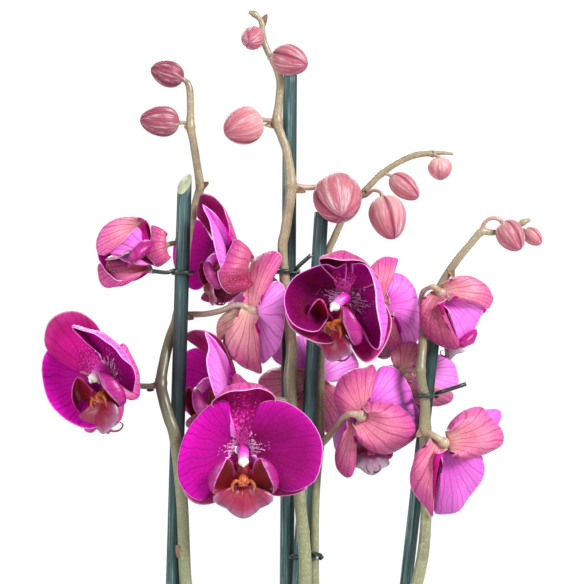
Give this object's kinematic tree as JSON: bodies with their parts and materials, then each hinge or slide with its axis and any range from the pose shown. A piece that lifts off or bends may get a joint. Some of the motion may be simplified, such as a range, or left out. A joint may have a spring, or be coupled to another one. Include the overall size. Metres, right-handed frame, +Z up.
{
  "type": "potted moth orchid",
  "caption": "Moth orchid with magenta flowers, lips and round buds on tall stems tied to stakes, with strap leaves, in a pot of bark.",
  "frame": {"origin": "centre of the flat foot of the pot, where it stands on a table", "axes": "+Z up along the pot's axis, -Y towards the viewer of the picture, +X to that viewer's right"},
  "size_m": [0.3343, 0.3313, 0.5654],
  "materials": {
    "petal": "soft satin petal, paler on its back",
    "lip": "waxy dark crimson",
    "bud": "smooth waxy bud skin with darker veins",
    "stem": "smooth plant stem, olive brown to green",
    "stake": "green stained bamboo",
    "wire": "dark green coated wire",
    "crown": "matte green plant stem and grey green roots",
    "leaf": "waxy satin green",
    "bark": "rough bark chips",
    "pot": "plain white glaze"
  },
  "bodies": {
    "root": {"bloom_1": "petal", "lip_1": "lip", "bloom_2": "petal", "lip_2": "lip", "bloom_3": "petal", "lip_3": "lip", "bloom_4": "petal", "lip_4": "lip", "bloom_5": "petal", "lip_5": "lip", "bloom_6": "petal", "lip_6": "lip", "bloom_7": "petal", "lip_7": "lip", "bloom_8": "petal", "lip_8": "lip", "bloom_9": "petal", "lip_9": "lip", "bloom_10": "petal", "lip_10": "lip", "bloom_11": "petal", "lip_11": "lip", "bloom_12": "petal", "lip_12": "lip", "bloom_13": "petal", "lip_13": "lip", "bud_1": "bud", "bud_2": "bud", "bud_3": "bud", "bud_4": "bud", "bud_5": "bud", "bud_6": "bud", "bud_7": "bud", "bud_8": "bud", "bud_9": "bud", "bud_10": "bud", "bud_11": "bud", "flower_spike_a": "stem", "stake_a": "stake", "tie_a": "wire", "flower_spike_b": "stem", "stake_b": "stake", "tie_b": "wire", "flower_spike_c": "stem", "stake_c": "stake", "tie_c": "wire", "flower_spike_d": "stem", "stake_d": "stake", "tie_d": "wire", "pot": "pot", "potting_bark": "bark", "plant_crown_a": "crown", "plant_crown_b": "crown", "leaf_1": "leaf", "leaf_2": "leaf", "leaf_3": "leaf", "leaf_4": "leaf", "leaf_5": "leaf", "leaf_6": "leaf", "leaf_7": "leaf"}
  },
  "joints": []
}
